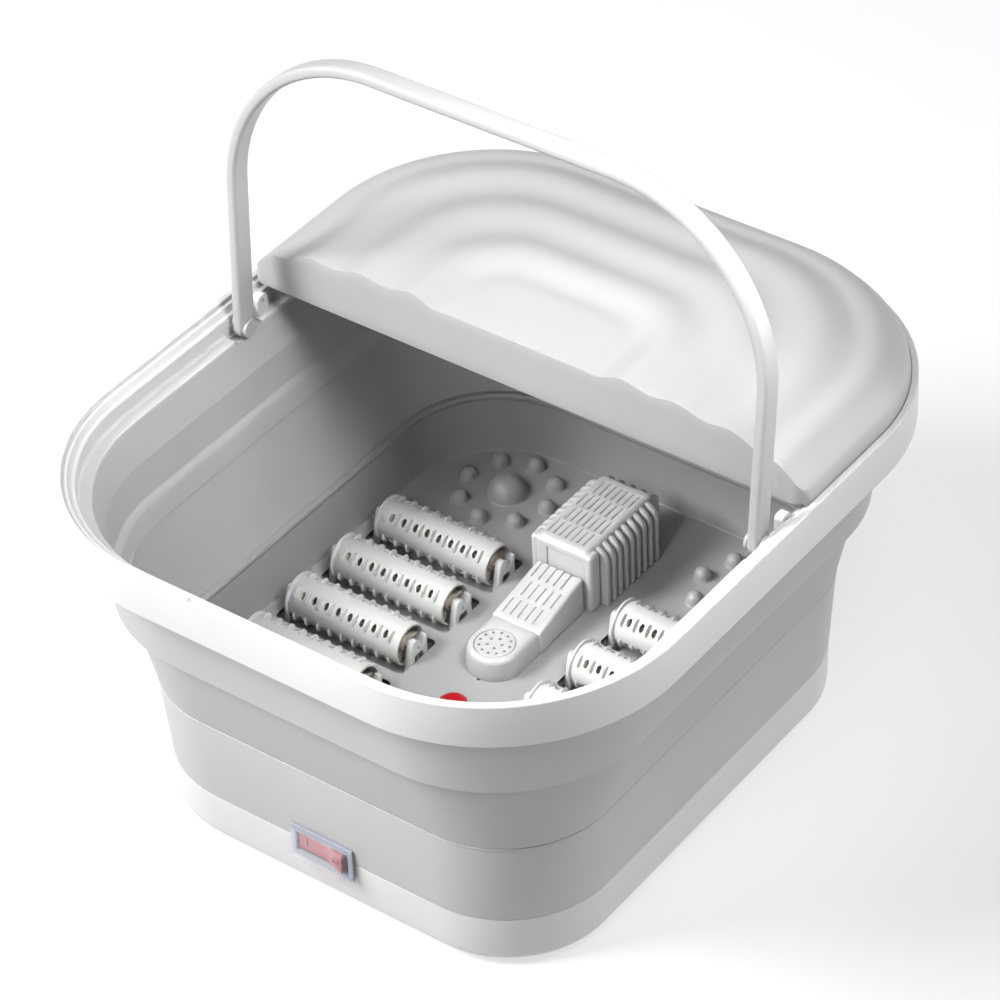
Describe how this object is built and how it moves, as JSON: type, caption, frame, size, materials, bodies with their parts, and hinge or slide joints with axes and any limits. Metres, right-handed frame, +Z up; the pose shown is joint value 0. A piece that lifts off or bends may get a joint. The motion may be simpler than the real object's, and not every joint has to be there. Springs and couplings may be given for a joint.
{
  "type": "foot spa basin",
  "caption": "Collapsible foot spa basin with a carrying handle, lift-off rear splash lid, foot rollers, massage domes and a heated bubble module.",
  "frame": {"origin": "centre of the footprint, at the level the feet stand on", "axes": "+Z up, -Y towards the switch at the front, +X to the right when facing +Y"},
  "size_m": [0.36, 0.404, 0.3925],
  "materials": {
    "white_shell": "satin white moulding",
    "handle_plastic": "satin pale grey moulding",
    "lid_plastic": "satin pale grey moulding",
    "grey_wall": "fine matt grey",
    "soft_wall": "matt grey soft-touch",
    "tub_grey": "satin grey",
    "roller_plastic": "satin off-white",
    "steel": "plain stainless",
    "red_lens": "clear red",
    "black_rubber": "matt",
    "bezel_grey": "cloudy grey-blue",
    "clear_cover": "clear flexible plastic",
    "rocker_red": "gloss",
    "black_plastic": "matt",
    "brass": "plain",
    "base_grey": "matt",
    "aluminium": "plain",
    "circuit_board": "solder mask"
  },
  "bodies": {
    "base": {"base_shell": "white_shell", "bottom_cover": "base_grey", "body_screws": "steel", "cover_screws": "steel", "rubber_feet": "black_rubber", "mid_housing": "grey_wall", "clamp_ring": "white_shell", "fold_wall": "soft_wall", "tub": "tub_grey", "roller_clips_left": "roller_plastic", "roller_clips_right": "roller_plastic", "nozzle_cover": "tub_grey", "air_grille": "tub_grey", "ramp_cover": "tub_grey", "heater_tower": "tub_grey", "lamp_lens": "red_lens", "lamp_gasket": "black_rubber", "lamp_board": "circuit_board", "switch_bezel": "bezel_grey", "switch_body": "black_plastic", "switch_terminals": "brass", "switch_boot": "clear_cover", "inlet_gland": "black_plastic", "inlet_nut": "black_plastic", "ptc_heater": "aluminium", "thermostat": "black_plastic", "air_pump": "base_grey", "pump_mounts": "black_rubber", "air_hose": "black_rubber", "control_board": "circuit_board", "board_posts": "black_plastic", "terminal_block": "black_plastic", "wiring_harness": "black_rubber"},
    "rim": {"rim_frame": "white_shell", "upper_wall": "grey_wall", "handle_pins": "handle_plastic", "lid_clips": "white_shell"},
    "handle": {"handle": "handle_plastic"},
    "lid": {"lid": "lid_plastic"},
    "rocker": {"rocker": "rocker_red"},
    "roller_left_1": {"roller_left_1": "roller_plastic", "roller_axle_left_1": "steel"},
    "roller_left_2": {"roller_left_2": "roller_plastic", "roller_axle_left_2": "steel"},
    "roller_left_3": {"roller_left_3": "roller_plastic", "roller_axle_left_3": "steel"},
    "roller_left_4": {"roller_left_4": "roller_plastic", "roller_axle_left_4": "steel"},
    "roller_right_1": {"roller_right_1": "roller_plastic", "roller_axle_right_1": "steel"},
    "roller_right_2": {"roller_right_2": "roller_plastic", "roller_axle_right_2": "steel"},
    "roller_right_3": {"roller_right_3": "roller_plastic", "roller_axle_right_3": "steel"},
    "roller_right_4": {"roller_right_4": "roller_plastic", "roller_axle_right_4": "steel"}
  },
  "joints": [
    {"name": "collapse", "type": "slide", "parent": "base", "child": "rim", "axis": [0, 0, 1], "range_m": [-0.11, 0], "deforming": ["fold_wall"]},
    {"name": "handle_swing", "type": "hinge", "parent": "rim", "child": "handle", "pos_m": [0, 0, 0.20675], "axis": [1, 0, 0], "range_deg": [-18, 72]},
    {"name": "lid_lift", "type": "slide", "parent": "rim", "child": "lid", "axis": [0, 0, 1], "range_m": [0, 0.1]},
    {"name": "rocker_rock", "type": "hinge", "parent": "base", "child": "rocker", "pos_m": [0, -0.1535, 0.0337], "axis": [0, 0, 1], "range_deg": [0, 14]},
    {"name": "roll_left_1", "type": "hinge", "parent": "base", "child": "roller_left_1", "pos_m": [-0.08005, 0.0536, 0.059], "axis": [1, 0, 0], "continuous": true},
    {"name": "roll_left_2", "type": "hinge", "parent": "base", "child": "roller_left_2", "pos_m": [-0.08005, 0.0136, 0.059], "axis": [1, 0, 0], "continuous": true},
    {"name": "roll_left_3", "type": "hinge", "parent": "base", "child": "roller_left_3", "pos_m": [-0.08005, -0.0264, 0.059], "axis": [1, 0, 0], "continuous": true},
    {"name": "roll_left_4", "type": "hinge", "parent": "base", "child": "roller_left_4", "pos_m": [-0.08005, -0.0664, 0.059], "axis": [1, 0, 0], "continuous": true},
    {"name": "roll_right_1", "type": "hinge", "parent": "base", "child": "roller_right_1", "pos_m": [0.08005, 0.0536, 0.059], "axis": [1, 0, 0], "continuous": true},
    {"name": "roll_right_2", "type": "hinge", "parent": "base", "child": "roller_right_2", "pos_m": [0.08005, 0.0136, 0.059], "axis": [1, 0, 0], "continuous": true},
    {"name": "roll_right_3", "type": "hinge", "parent": "base", "child": "roller_right_3", "pos_m": [0.08005, -0.0264, 0.059], "axis": [1, 0, 0], "continuous": true},
    {"name": "roll_right_4", "type": "hinge", "parent": "base", "child": "roller_right_4", "pos_m": [0.08005, -0.0664, 0.059], "axis": [1, 0, 0], "continuous": true}
  ]
}
